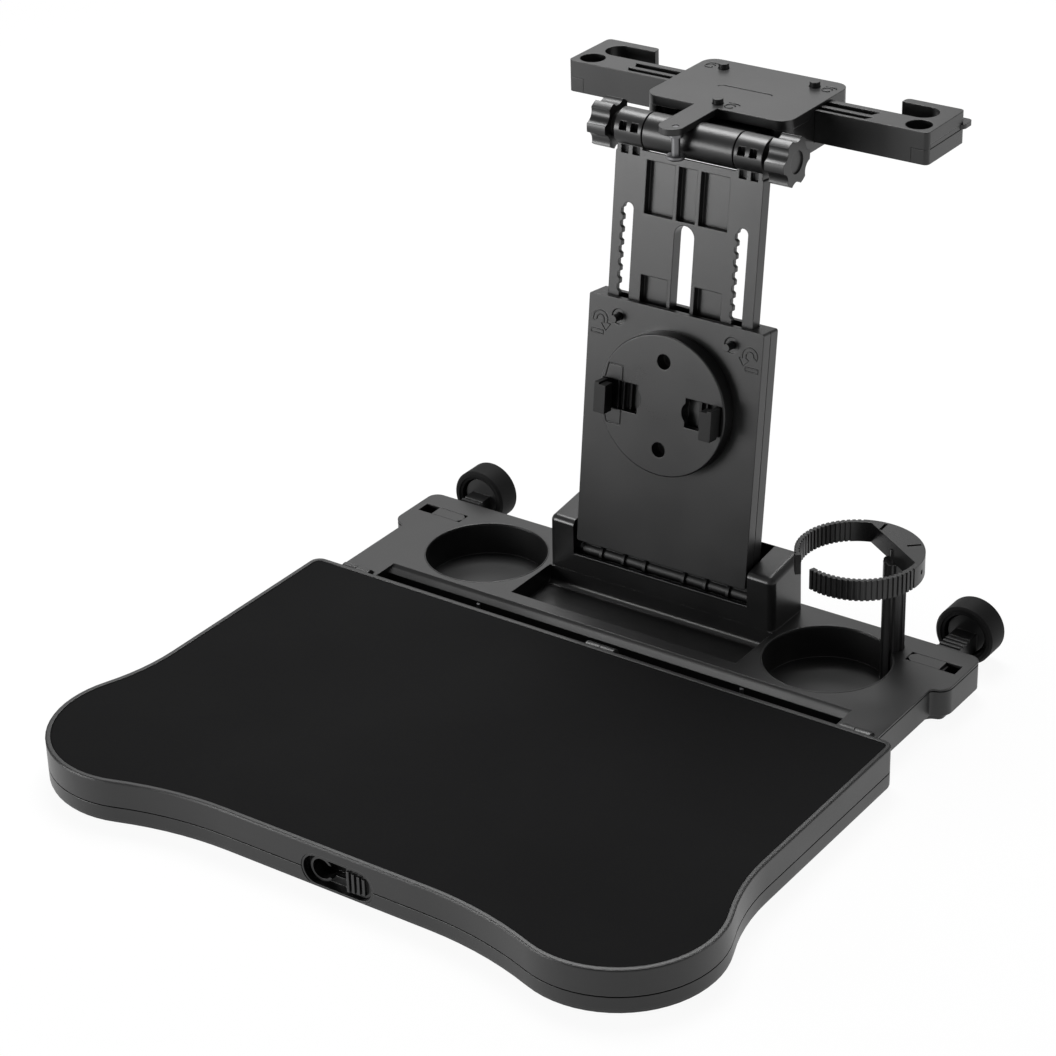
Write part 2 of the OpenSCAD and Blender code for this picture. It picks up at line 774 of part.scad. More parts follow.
// Front shell of the sleeve, with the bearing of the disc and the seats of the release buttons
module sleeve_front() {
    wall_in = plate_front + slide_gap;
    color(black) on_mast() difference() {
        depth(sleeve_split, sleeve_t) polygon(round_rect(-sleeve_half, sleeve_low, sleeve_half, sleeve_top, 1.5));
        depth(sleeve_split - over, wall_in)
            rect(-plate_w / 2 - slide_gap, sleeve_low + 10, plate_w / 2 + slide_gap, sleeve_top + over);
        depth(sleeve_split - over, sleeve_split + 0.6) difference() {
            rect(-sleeve_half - over, sleeve_low - over, sleeve_half + over, sleeve_top + over);
            rect(-sleeve_half + 0.7, sleeve_low + 0.7, sleeve_half - 0.7, sleeve_top + 2 * over);
        }
        depth(wall_in - over, sleeve_t + over) translate([0, disc_s]) circle(hub_r + slide_gap);
        depth(wall_in - over, wall_in + 1.7) translate([0, disc_s]) circle(retainer_r + 0.4);
        for (side = [left, right]) {
            depth(wall_in - over, sleeve_t + over) translate([side * release_x, release_s]) circle(release_r + slide_gap);
            depth(wall_in - over, wall_in + 2.6) translate([side * release_x, release_s]) circle(release_r + 1.5);
            depth(sleeve_t - 0.8, sleeve_t + over) translate([side * release_x, release_s]) circle(release_ring_r);
        }
        sleeve_screw_holes();
    }
}

// Button that frees the sliding plate
module release_button(side) {
    flange = plate_front + slide_gap + 1.5;
    color(dark) on_mast() translate([side * release_x, 0, release_s]) {
        depth(plate_back + 3, sleeve_t + release_proud) circle(release_r);
        depth(flange, flange + 0.8) circle(release_r + 1.2);
    }
}

// Disc that turns on the front of the sleeve and carries the jaws
module turn_disc() {
    color(black) on_mast() translate([0, 0, disc_s]) difference() {
        union() {
            depth(disc_back, disc_front - 0.6) circle(disc_r, $fn = 96);
            translate([0, 0.6 - disc_front, 0]) rotate([90, 0, 0]) cylinder(r1 = disc_r, r2 = disc_r - 0.6, h = 0.6);
            depth(plate_front + slide_gap + 1.6, disc_back + over) circle(hub_r);
        }
        for (s = [-disc_hole_s, disc_hole_s]) depth(disc_back + 2, disc_front + over) translate([0, s]) circle(disc_hole_r);
        depth(plate_front, disc_front - 3) circle(3 + pin_gap);
        for (side = [0, 1]) mirror([side, 0, 0]) jaw_slot_cut();
        for (side = [0, 1]) mirror([0, 0, side]) snap_line();
    }
}

// The stepped slot that a jaw slides in, with a half-round notch at its inner end
module jaw_slot_cut() {
    base = disc_back + jaw_floor;
    depth(base, base + jaw_step) rect(jaw_slot_in, -jaw_slot_h / 2, jaw_slot_out - 0.5, jaw_slot_h / 2);
    depth(base, disc_front + over) {
        rect(jaw_slot_in + 2, 2 - jaw_slot_h / 2, jaw_slot_out, jaw_slot_h / 2 - 2);
        translate([jaw_notch_x, 0]) circle(jaw_notch_r);
    }
}

// Thin line on the face of the disc round the snap-in cover beside the left slot
module snap_line() {
    low = jaw_slot_h / 2 - 1.5;
    high = 19.2;
    depth(disc_front - 0.5, disc_front + over) difference() {
        polygon([[-28, low], [-28, high], [-38.8, high], [-41, low]]);
        polygon([[-28.7, low - over], [-28.7, high - 0.7], [-38.3, high - 0.7], [-40.5, low - over]]);
    }
}

// Collar behind the front wall of the sleeve that keeps the disc on it
module disc_retainer() {
    low = plate_front + slide_gap + 0.3;
    color(dark) on_mast() translate([0, 0, disc_s]) {
        depth(low, low + 1.3) circle(retainer_r);
        depth(low, disc_front - 4) circle(3);
    }
}

// Jaw that slides towards the middle of the disc
module jaw(side) {
    base = disc_back + jaw_floor + slide_gap;
    half = jaw_slot_h / 2 - slide_gap;
    front = disc_front + jaw_reach;
    color(dark) on_mast() translate([0, 0, disc_s]) mirror([side == left ? 1 : 0, 0, 0]) {
        depth(base, base + jaw_step - 2 * slide_gap) rect(jaw_in, -half, jaw_out, half);
        depth(base, disc_front - 4) rect(jaw_in + 2, 2 - half, jaw_out, half - 2);
        for (x = jaw_ribs_at) depth(base, disc_front - 1) rect(x, 2 - half, x + 1, half - 2);
        depth(base, front) rect(jaw_out - jaw_wall + 4.8, 2 - half, jaw_out, half - 2);
        depth(front - 8, front) rect(jaw_out - jaw_wall, -jaw_h / 2 - jaw_drop, jaw_out, jaw_h / 2 - jaw_drop);
    }
}

// Sliding plate of the mast, with its toothed slots, pockets and the outer hinge knuckles
module mast_plate() {
    half = plate_w / 2;
    color(black) difference() {
        union() {
            on_mast() depth(plate_back, plate_front) difference() {
                polygon(round_rect(-half, plate_low_s, half, plate_top_s, 1.5));
                long_hole(0, tooth_slot_low, centre_slot_top, centre_slot_w);
                for (side = [left, right]) tooth_slot(side * tooth_x);
            }
            for (side = [0, 1]) mirror([side, 0, 0]) {
                along_x(knuckle2_in, knuckle2_out, bolt_y, bolt_z, barrel2_r);
                on_mast() depth(plate_back, plate_front)
                    rect(knuckle2_in + 0.6, plate_top_s - 2, knuckle2_out - 0.6, plate_top_s + 9);
            }
            on_mast() depth(plate_front - plate_lip_t, plate_front)
                rect(-knuckle2_in - over, plate_top_s - 2, knuckle2_in + over, plate_top_s + plate_lip);
        }
        on_mast() for (side = [0, 1]) mirror([side, 0, 0]) plate_pockets();
        on_mast() depth(plate_front - pocket_depth, plate_front + over)
            rect(-6.5, sleeve_top + 55, 6.5, plate_top_s - 3);
        for (side = [0, 1]) mirror([side, 0, 0]) knuckle_windows();
        along_x(-knuckle2_out - over, knuckle2_out + over, bolt_y, bolt_z, bolt_r + pin_gap);
    }
}

// Square windows in the front of a hinge knuckle, which leave a ladder of ribs, in two rows
module knuckle_windows() {
    size = 5;
    for (x = [knuckle2_in + 2.5, knuckle2_in + 10.5]) for (z = [bolt_z + 1.5, bolt_z - 13.5])
        span([x, bolt_y - barrel2_r - over, z], [x + size, bolt_y - bolt_r - 2.2, z + size]);
}

// A slot with notches along one side, which the release button runs in
module tooth_slot(x) {
    long_hole(x, tooth_slot_low, tooth_slot_top, tooth_slot_w);
    count = floor((tooth_slot_top - tooth_slot_low - tooth_slot_w) / tooth_pitch);
    for (i = [0 : count - 1]) {
        s = tooth_slot_top - tooth_slot_w / 2 - i * tooth_pitch;
        polygon([[x, s], [x - tooth_slot_w / 2, s], [x - tooth_slot_w / 2 - tooth_depth, s - 1.2],
            [x - tooth_slot_w / 2 - tooth_depth, s - 4], [x - tooth_slot_w / 2, s - 5.2], [x, s - 5.2]]);
    }
}

// The pockets of one half of the sliding plate
module plate_pockets() {
    depth(plate_front - pocket_depth, plate_front + over) {
        rect(9, sleeve_top + 55, 29, plate_top_s - 3);
        rect(9.5, tooth_slot_low, 28.5, sleeve_top + 17);
    }
    depth(plate_back - over, plate_front - plate_skin)
        rect(plate_rib, plate_low_s + plate_flange, plate_w / 2 - plate_flange, tooth_slot_top + 6);
}

// Bolt through the bracket hinge, which the star knobs clamp
module bracket_bolt() {
    color(steel) along_x(-knob_out + 6.3, knob_out - 6.3, bolt_y, bolt_z, bolt_r);
}

// Star knob that tightens the bracket hinge
module knob(side) {
    color(dark) mirror([side == left ? 1 : 0, 0, 0]) translate([knob_in, bolt_y, bolt_z]) rotate([0, 90, 0]) difference() {
        union() {
            translate([0, 0, 2]) linear_extrude(knob_out - knob_in - 2) difference() {
                circle(knob_r);
                for (i = [0 : knob_lobes - 1]) rotate(i * 360 / knob_lobes) translate([knob_r + 3.6, 0]) circle(6.6);
            }
            cylinder(r = 8.5, h = 3);
        }
        translate([0, 0, -over]) cylinder(r = bolt_r + pin_gap, h = knob_out - knob_in - 6 + over);
        translate([0, 0, knob_out - knob_in - 1]) cylinder(r = 7, h = 2);
    }
}

// Outline of the bracket box, set in by a distance
function box_outline(inset) = round_rect(-box_w / 2 + inset, box_front + inset, box_w / 2 - inset,
    box_back - inset, box_r - inset, 6);

// Screw places of the bracket, as [x, y]
bracket_screw_at = [[-44, 82], [44, 82], [-44, 140], [44, 140]];
bracket_screw_len = 21;

// Lower part of the bracket: an open box with the middle hinge barrel and guides for the two arms
module bracket_body() {
    floor_z = box_low + box_floor_t;
    color(black) difference() {
        union() {
            difference() {
                level(box_outline(0), box_low, cover_low);
                level(box_outline(wall), floor_z, cover_low + over);
                span([-box_w / 2 + box_r, box_front - over, floor_z], [box_w / 2 - box_r, box_front + wall + over, cover_low + over]);
            }
            curved_wall(floor_z - 0.5, cover_low);
            for (y = [arm_y0 - slide_gap - wall, arm_y1 + slide_gap])
                span([-box_w / 2 + 1, y, floor_z - 0.5], [box_w / 2 - 1, y + wall, cover_low]);
            for (p = bracket_screw_at) translate([p[0], p[1], floor_z - 0.5]) cylinder(r = 3.6, h = cover_low - floor_z + 0.5);
            along_x(-barrel2_half, barrel2_half, bolt_y, bolt_z, barrel2_r);
            link();
        }
        span([-box_w / 2 - over, arm_y0 - slide_gap, arm_low - slide_gap], [box_w / 2 + over, arm_y1 + slide_gap, box_top]);
        along_x(-barrel2_half - over, barrel2_half + over, bolt_y, bolt_z, bolt_r + pin_gap);
        for (p = bracket_screw_at) translate([p[0], p[1], box_low]) screw_hole(bracket_screw_len);
    }
}

// The saddle between the middle hinge barrel and the box, hollowed along its top
module link() {
    translate([-link_half, 0, 0]) rotate([90, 0, 90]) linear_extrude(2 * link_half) polygon([
        [bolt_y, bolt_z - link_low], [box_front + 16, bolt_z - link_low], [box_front + 16, cover_low - 2],
        [box_front + 5, cover_low - 2], [box_front + 2, bolt_z + link_top + 1.5], [box_front - 3, bolt_z + link_top],
        [bolt_y + 12, bolt_z + link_top + 0.6], [bolt_y + 9, bolt_z + link_top + 2], [bolt_y, bolt_z + 8]]);
}

// The curved wall inside the open front of the bracket
module curved_wall(z0, z1) {
    r = 55;
    translate([0, 0, z0]) linear_extrude(z1 - z0) intersection() {
        difference() {
            translate([0, 40]) circle(r, $fn = 96);
            translate([0, 40]) circle(r - wall, $fn = 96);
        }
        rect(-box_w / 2 + 2, box_front + 4, box_w / 2 - 2, 100);
    }
}

// Top cover of the bracket, with the tongue that reaches forward over the hinge
module bracket_cover() {
    color(black) difference() {
        union() {
            difference() {
                level(box_outline(0), cover_low, box_top);
                level(box_outline(wall), cover_low - over, box_top - cover_t);
            }
            translate([tongue_x, 0, box_top - tongue_t]) linear_extrude(tongue_t) {
                rect(-tongue_w / 2, tongue_tip + tongue_w / 2, tongue_w / 2, box_front + 3);
                translate([0, tongue_tip + tongue_w / 2]) circle(tongue_w / 2);
            }
            for (p = bracket_screw_at) translate([p[0], p[1], cover_low]) cylinder(r = 3.2, h = cover_h - 0.5);
        }
        along_x(-barrel2_half, barrel2_half, bolt_y, bolt_z, barrel2_r + slide_gap);
        span([-box_w / 2 - over, arm_y0 - slide_gap, cover_low - over], [box_w / 2 + over, arm_y1 + slide_gap, box_top - cover_t]);
        for (p = [[-arm_button_x, arm_button_y], [arm_button_x, arm_button_y], [front_button_x, front_button_y]])
            translate([p[0], p[1], cover_low]) cylinder(r = button_r + slide_gap, h = cover_h + over);
        translate([latch_x, catch_y, cover_low - over]) cylinder(r = 2 + pin_gap, h = cover_h + 2 * over);
        for (p = bracket_screw_at) translate([p[0], p[1], box_low]) cylinder(r = screw_r + pin_gap, h = bracket_screw_len + 0.4);
        cover_line();
    }
}

// A shallow line in the middle of the cover, bent down at its ends
module cover_line() {
    translate([0, 0, box_top - 0.5]) linear_extrude(over) {
        rect(-16, 108.6, 17, 109.7);
        polygon([[-16, 108.6], [-16, 109.7], [-18.4, 107.4], [-18.4, 106], [-17.4, 106], [-17.4, 107.2]]);
        polygon([[17, 108.6], [17, 109.7], [19.2, 108.2], [18.5, 107.5]]);
    }
}

// Mushroom-headed pin under the tongue, which the keyhole of the folded table hangs on
module catch_pin() {
    low = box_top - catch_drop;
    color(steel) translate([latch_x, catch_y, 0]) {
        translate([0, 0, low]) cylinder(r1 = 4.9, r2 = 5.6, h = 1);
        translate([0, 0, low + 1]) cylinder(r = 5.6, h = 1.4);
        translate([0, 0, low + 2]) cylinder(r = 2.6, h = catch_drop - tongue_t - 2);
        translate([0, 0, box_top - tongue_t - 2.4]) cylinder(r = 4.6, h = 2.4);
        translate([0, 0, box_top - tongue_t - 1]) cylinder(r = 2, h = tongue_t + 0.6);
    }
}

// Screws that hold the cover of the bracket, from below
module bracket_screws() {
    color(steel) for (p = bracket_screw_at) translate([p[0], p[1], box_low + 0.1]) screw(bracket_screw_len);
}

// Push button in the cover of the bracket
module top_button(x, y) {
    color(dark) translate([x, y, 0]) {
        translate([0, 0, box_top - 5]) cylinder(r = button_r, h = 5 + button_proud);
        translate([0, 0, box_top - cover_t - slide_gap - 1.2]) cylinder(r = button_r + 1.2, h = 1.2);
    }
}

// Plan of an arm: a bar with a round hole and a hook that opens towards the mast, on the right-hand side
module arm_plan(tail_y0, tail_y1) {
    slot_y = arm_y1 + hook_w / 2;
    difference() {
        union() {
            rect(arm_inner, arm_y0, arm_reach - arm_corner_r, arm_y1);
            rect(arm_tail, tail_y0, arm_inner + over, tail_y1);
            polygon(round_rect(prong_in, arm_y0, arm_reach, arm_back, arm_corner_r - 1.9, 4));
        }
        rect(prong_in - over, arm_y1, hook_end - hook_w / 2, arm_y1 + hook_w);
        translate([hook_end - hook_w / 2, slot_y]) circle(hook_w / 2);
        translate([post_x, post_y]) circle(post_hole_r);
    }
}

// Screw places of an arm, as [x, y], on the right-hand side
arm_screw_at = [[62, post_y - 1], [98, post_y]];
arm_screw_len = 14;

// The tails of the two arms pass beside each other: the left one in front, the right one behind
function tail_y(side) = side == left ? [arm_y0, post_y - 0.5] : [post_y + 0.5, arm_y1];

// Lower shell of an arm
module arm_lower(side) {
    color(black) mirror([side == left ? 1 : 0, 0, 0]) difference() {
        translate([0, 0, arm_low]) linear_extrude(arm_split - arm_low) arm_plan(tail_y(side)[0], tail_y(side)[1]);
        span([arm_inner, arm_y0 - over, arm_low - over], [arm_reach - skirt_end + 0.1, arm_y0 + skirt_t + 0.1, arm_split + over]);
        for (p = arm_screw_at) translate([p[0], p[1], arm_low]) screw_hole(arm_screw_len);
    }
}

// Upper shell of an arm, with the gap for the lock plate and two long grooves
module arm_upper(side) {
    groove_end = arm_reach - 40;
    color(black) mirror([side == left ? 1 : 0, 0, 0]) difference() {
        union() {
            translate([0, 0, arm_split]) linear_extrude(arm_top - arm_split) arm_plan(tail_y(side)[0], tail_y(side)[1]);
            span([arm_inner + 0.1, arm_y0, arm_low], [arm_reach - skirt_end, arm_y0 + skirt_t, arm_split + over]);
        }
        span([post_x - 1, arm_y0 + 2.8, arm_split - over], [arm_reach + over, arm_back + over, arm_split + lock_gap]);
        span([post_x - 8, arm_back - prong_t + 1, arm_split - over], [arm_reach, arm_back + over, arm_split + lock_gap]);
        for (g = [[arm_y0 + 2.3, 4.5], [arm_y0 + 10, 6]])
            translate([0, 0, arm_top - 2.5]) linear_extrude(2.5 + over)
                polygon([[arm_inner + 2, g[0]], [groove_end - 3, g[0]], [groove_end, g[0] + g[1]], [arm_inner + 2, g[0] + g[1]]]);
        for (p = arm_screw_at) translate([p[0], p[1], arm_low]) screw_hole(arm_screw_len);
    }
}

// Screws that join the two shells of an arm from below
module arm_screws(side) {
    color(steel) mirror([side == left ? 1 : 0, 0, 0])
        for (p = arm_screw_at) translate([p[0], p[1], arm_low + 0.1]) screw(arm_screw_len);
}

// Plate that slides inwards in the end of an arm and grips the post in the hole
module lock_plate(side) {
    gap_z = arm_split + (lock_gap - lock_t) / 2;
    color(dark) mirror([side == left ? 1 : 0, 0, 0]) translate([0, 0, gap_z]) linear_extrude(lock_t) {
        rect(arm_reach - lock_strip - 0.2, arm_y0 + 3.3, arm_reach - 0.2, arm_back);
        polygon(round_rect(post_x, arm_back - prong_t + 1.3, arm_reach + 2, arm_back + 7, 3.5, 5));
    }
}

// Stem that pushes a bumper out of the back of the base
module stem(side, y) {
    back = y + bumper_cup;
    color(dark) difference() {
        translate([side * bumper_x, 0, 0]) union() {
            span([-stem_half, back - stem_in, stem_low], [stem_half, back - 2, stem_top]);
            translate([0, back - 3, bumper_z]) rotate([-90, 0, 0]) cylinder(r = 12.4, h = 3);
            translate([0, back - over, bumper_z]) rotate([-90, 0, 0]) cylinder(r = 5, h = 6 + over);
        }
        for (t = [back - stem_in + 6 : stem_tooth : back - 12])
            translate([side * bumper_x - stem_half - over, t, 0]) rotate([90, 0, 90]) linear_extrude(2 * (stem_half + over))
                polygon([[0, stem_top + over], [0, stem_top - 1.3], [1.4, stem_top - 1.3], [2.8, stem_top + over]]);
    }
}

// Rubber bumper that rests on the seat back: a cup with a rim, pressed on its stem
module bumper(side, y) {
    color(mat_black) translate([side * bumper_x, y, bumper_z]) rotate([-90, 0, 0]) difference() {
        rotate_extrude($fn = 96) polygon([[0, bumper_cup], [12.8, bumper_cup], [13.6, 1.6], [15.2, 0.8], [15.6, 0],
            [bumper_r - 1.4, 0], [bumper_r, 1.4], [bumper_r, bumper_t - 2], [bumper_r - 2, bumper_t], [0, bumper_t]]);
        translate([0, 0, bumper_cup - over]) cylinder(r = 5, h = 6 + over);
    }
}

// Flat tab in the top face that is slid outwards to free a bumper stem
module release_tab(side) {
    color(dark) mirror([side == left ? 1 : 0, 0, 0]) {
        translate([0, 0, plate_low + 0.1]) linear_extrude(base_h - plate_low - 0.2)
            polygon([[tab_in + 3, tab_front], [tab_out, tab_front], [tab_out, tab_back], [tab_in + 3, tab_back],
                [tab_in, tab_back - 3], [tab_in, tab_front + 3]]);
        span([tab_out - 1.4, tab_front - 2.4, plate_low - slide_gap - 1.8],
            [tab_out + 1.4, tab_back + 2.4, plate_low - slide_gap]);
        span([tab_out - 1.4, tab_front, plate_low - slide_gap - 1], [tab_out, tab_back, plate_low + over]);
    }
}

// Fluted post that slides in a channel of the right cup, with the pivot of the ring on top
module ring_post() {
    color(dark) translate([post_at[0], post_at[1], 0]) {
        translate([0, 0, 1]) linear_extrude(ring_low - 1) difference() {
            circle(ring_post_r);
            for (i = [0 : flutes - 1]) rotate((i + 0.5) * 360 / flutes) translate([ring_post_r + 0.5, 0]) circle(1.5, $fn = 24);
        }
        translate([0, 0, ring_low - over]) cylinder(r = ring_pivot_r, h = ring_pivot_h + over);
    }
}

// Plan of the cup ring: an open band with pleated arms and one thick side with a straight inner face
module ring_plan() {
    pleat = 5;
    difference() {
        circle(ring_r, $fn = 96);
        difference() {
            circle(ring_inner_r, $fn = 96);
            rotate(ring_thick_at) rect(ring_thick_from, -ring_r, ring_r, ring_r);
        }
        polygon([[0, 0], [60 * cos(ring_gap_from), 60 * sin(ring_gap_from)], [60 * cos(ring_gap_to), 60 * sin(ring_gap_to)]]);
        for (a = [ring_thick_at + 60 : pleat : ring_gap_from - 3]) rotate(a) rect(ring_r - 0.9, -0.7, ring_r + over, 0.7);
        for (a = [ring_gap_to + 4 : pleat : 360 + ring_thick_at - 60]) rotate(a) rect(ring_r - 0.9, -0.7, ring_r + over, 0.7);
        for (a = [ring_thick_at + 72.5 : pleat : ring_gap_from - 3]) rotate(a) rect(ring_inner_r - over, -0.7, ring_inner_r + 0.9, 0.7);
        for (a = [ring_gap_to + 6.5 : pleat : 360 + ring_thick_at - 72]) rotate(a) rect(ring_inner_r - over, -0.7, ring_inner_r + 0.9, 0.7);
    }
}

// Ring that steadies a tall cup, turning on its post
module cup_ring() {
    color(dark) difference() {
        translate([ring_at[0], ring_at[1], ring_low]) linear_extrude(ring_h) ring_plan();
        translate([post_at[0], post_at[1], ring_low - over]) cylinder(r = ring_pivot_r + pin_gap, h = ring_pivot_h + over + 0.4);
        for (a = [42, 94]) translate([ring_at[0], ring_at[1], base_h + ring_top - 2]) rotate(a)
            span([ring_r - 10, -0.9, 0], [ring_r - 1.5, 0.9, 3]);
        translate([ring_at[0], ring_at[1], ring_low + ring_h / 2]) rotate([0, 90, 9])
            translate([0, 0, ring_r - 3]) cylinder(r = 1.5, h = 5);
    }
}

base_top();
base_bottom();
base_screws();
table_upper();
table_lower();
table_mat();
table_screws();
table_hinge_pins();
latch_plate();
latch_slider();
mast_hinge_pin();
sleeve_back();
sleeve_front();
sleeve_screws();
release_button(left);  // release_button_left
release_button(right);  // release_button_right
turn_disc();
disc_retainer();
jaw(left);  // jaw_left
jaw(right);  // jaw_right
mast_plate();
bracket_bolt();
knob(left);  // knob_left
knob(right);  // knob_right
bracket_body();
bracket_cover();
catch_pin();
bracket_screws();
top_button(-arm_button_x, arm_button_y);  // arm_button_left
top_button(arm_button_x, arm_button_y);  // arm_button_right
top_button(front_button_x, front_button_y);  // front_button
arm_lower(left);  // arm_left_lower
arm_upper(left);  // arm_left_upper
arm_lower(right);  // arm_right_lower
arm_upper(right);  // arm_right_upper
arm_screws(left);  // arm_screws_left
arm_screws(right);  // arm_screws_right
lock_plate(left);  // lock_plate_left
lock_plate(right);  // lock_plate_right
stem(left, bumper_left_y);  // stem_left
stem(right, bumper_right_y);  // stem_right
bumper(left, bumper_left_y);  // bumper_left
bumper(right, bumper_right_y);  // bumper_right
release_tab(left);  // release_tab_left
release_tab(right);  // release_tab_right
ring_post();
cup_ring();
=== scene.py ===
import bmesh
import bpy
import json
import math
from mathutils import Matrix, Vector


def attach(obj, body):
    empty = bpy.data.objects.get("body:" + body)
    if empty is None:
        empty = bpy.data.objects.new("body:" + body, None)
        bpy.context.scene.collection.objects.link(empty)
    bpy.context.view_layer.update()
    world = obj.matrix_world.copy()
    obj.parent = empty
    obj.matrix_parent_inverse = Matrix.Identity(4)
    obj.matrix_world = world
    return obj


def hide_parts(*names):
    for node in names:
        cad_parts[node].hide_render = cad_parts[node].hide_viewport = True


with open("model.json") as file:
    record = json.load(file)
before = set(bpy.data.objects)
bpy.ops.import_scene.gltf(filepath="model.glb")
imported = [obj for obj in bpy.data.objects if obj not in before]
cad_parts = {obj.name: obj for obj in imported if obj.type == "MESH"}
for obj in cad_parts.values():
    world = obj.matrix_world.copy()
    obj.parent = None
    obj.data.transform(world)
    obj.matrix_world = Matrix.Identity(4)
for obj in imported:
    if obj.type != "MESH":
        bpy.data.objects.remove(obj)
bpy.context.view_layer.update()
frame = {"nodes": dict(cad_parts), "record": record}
nodes = frame["nodes"]

record = frame["record"]
slot_of = {s["node"]: s["material_slot"] for s in record["subparts"]}
body_of = {n: body for body, held in record["behaviour"]["bodies"].items() for n in held}
tilt_axis = [j["pos_m"] for j in record["behaviour"]["joints"] if j["name"] == "mast_tilt"][0]


# ---------------------------------------------------------------- materials
PIT_SCALE = 0.6      # of the pits, against the noise's scale
PIT_SHARE = 0.4      # of the pits, in the grain's height
GRAIN_GLOSS = 0.12   # of the grain, in the roughness
GRAIN_TINT = 0.45    # of the grain, in the colour's variation
TINT = 0.14          # how far the colour varies, each way


def wire(t, *pairs):
    """Links from a node's output to another node's input."""
    for source, target in pairs:
        t.links.new(source, target)


def add(t, kind, **values):
    """A new node. A name that starts with an underscore sets an input, any other one a property."""
    n = t.nodes.new(kind)
    for k, v in values.items():
        if k.startswith("_"):
            n.inputs[k[1:].replace("_", " ")].default_value = v
        else:
            setattr(n, k, v)
    return n


def new_material(name):
    """A material with nothing but its Principled shader: the material, its tree and the shader."""
    m = bpy.data.materials.new(name)
    m.use_nodes = True
    t = m.node_tree
    for n in list(t.nodes):
        t.nodes.remove(n)
    out = t.nodes.new("ShaderNodeOutputMaterial")
    bsdf = t.nodes.new("ShaderNodeBsdfPrincipled")
    wire(t, (bsdf.outputs[0], out.inputs[0]))
    return m, t, bsdf


def on_object(t, *textures):
    """Textures that stay with the object as it moves."""
    coord = add(t, "ShaderNodeTexCoord")
    for n in textures:
        wire(t, (coord.outputs["Object"], n.inputs["Vector"]))


def moulded(name, colour, rough, grain_scale, grain_bump,
            edge=0.0005, specular=0.5, spread=0.08, flow=0.25):
    """Moulded plastic or rubber: spark-eroded grain, faint flow marks, uneven gloss, soft edges."""
    m, t, bsdf = new_material(name)
    grain = add(t, "ShaderNodeTexNoise", _Scale=grain_scale, _Detail=4.0, _Roughness=0.65)
    broad = add(t, "ShaderNodeTexNoise", _Scale=9.0, _Detail=3.0, _Roughness=0.5)
    pits = add(t, "ShaderNodeTexVoronoi", _Scale=grain_scale * PIT_SCALE)
    on_object(t, grain, broad, pits)

    # gloss: broad patches, and a little of the grain on top
    patches = add(t, "ShaderNodeMapRange", _From_Min=0.3, _From_Max=0.7,
                  _To_Min=rough - spread, _To_Max=rough + spread)
    gloss = add(t, "ShaderNodeMath", operation="MULTIPLY_ADD")
    gloss.inputs[1].default_value = GRAIN_GLOSS
    wire(t, (broad.outputs[0], patches.inputs["Value"]), (grain.outputs[0], gloss.inputs[0]),
         (patches.outputs[0], gloss.inputs[2]), (gloss.outputs[0], bsdf.inputs["Roughness"]))

    # colour: a slight variation by both
    blend = add(t, "ShaderNodeMix", data_type="FLOAT")
    blend.inputs[0].default_value = GRAIN_TINT
    ramp = add(t, "ShaderNodeValToRGB")
    low, high = ramp.color_ramp.elements
    low.position, high.position = 0.3, 0.75
    low.color = [c * (1 - TINT) for c in colour] + [1]
    high.color = [c * (1 + TINT) for c in colour] + [1]
    wire(t, (broad.outputs[0], blend.inputs[2]), (grain.outputs[0], blend.inputs[3]),
         (blend.outputs[0], ramp.inputs[0]), (ramp.outputs[0], bsdf.inputs["Base Color"]))

    # surface: moulded edges, then flow marks, then grain
    height = add(t, "ShaderNodeMix", data_type="FLOAT")
    height.inputs[0].default_value = PIT_SHARE
    bevel = add(t, "ShaderNodeBevel", samples=6, _Radius=edge)
    waves = add(t, "ShaderNodeBump", _Strength=flow, _Distance=0.0004)
    bump = add(t, "ShaderNodeBump", _Strength=grain_bump, _Distance=0.0001)
    wire(t, (grain.outputs[0], height.inputs[2]), (pits.outputs["Distance"], height.inputs[3]),
         (broad.outputs[0], waves.inputs["Height"]), (bevel.outputs[0], waves.inputs["Normal"]),
         (height.outputs[0], bump.inputs["Height"]), (waves.outputs[0], bump.inputs["Normal"]),
         (bump.outputs[0], bsdf.inputs["Normal"]))
    bsdf.inputs["Specular IOR Level"].default_value = specular
    return m


def steel(name, colour, rough):
    """Turned and blackened steel with fine scratches."""
    m, t, bsdf = new_material(name)
    scratches = add(t, "ShaderNodeTexNoise", _Scale=900.0, _Detail=3.0)
    broad = add(t, "ShaderNodeTexNoise", _Scale=60.0, _Detail=3.0)
    on_object(t, scratches, broad)
    gloss = add(t, "ShaderNodeMapRange", _From_Min=0.3, _From_Max=0.7,
                _To_Min=rough - 0.08, _To_Max=rough + 0.1)
    ramp = add(t, "ShaderNodeValToRGB")
    low, high = ramp.color_ramp.elements
    low.color = [c * 0.8 for c in colour] + [1]
    high.color = [c * 1.15 for c in colour] + [1]
    bevel = add(t, "ShaderNodeBevel", samples=4, _Radius=0.0003)
    bump = add(t, "ShaderNodeBump", _Strength=0.25, _Distance=0.00005)
    wire(t, (broad.outputs[0], gloss.inputs["Value"]), (gloss.outputs[0], bsdf.inputs["Roughness"]),
         (broad.outputs[0], ramp.inputs[0]), (ramp.outputs[0], bsdf.inputs["Base Color"]),
         (scratches.outputs[0], bump.inputs["Height"]), (bevel.outputs[0], bump.inputs["Normal"]),
         (bump.outputs[0], bsdf.inputs["Normal"]))
    bsdf.inputs["Metallic"].default_value = 1.0
    return m


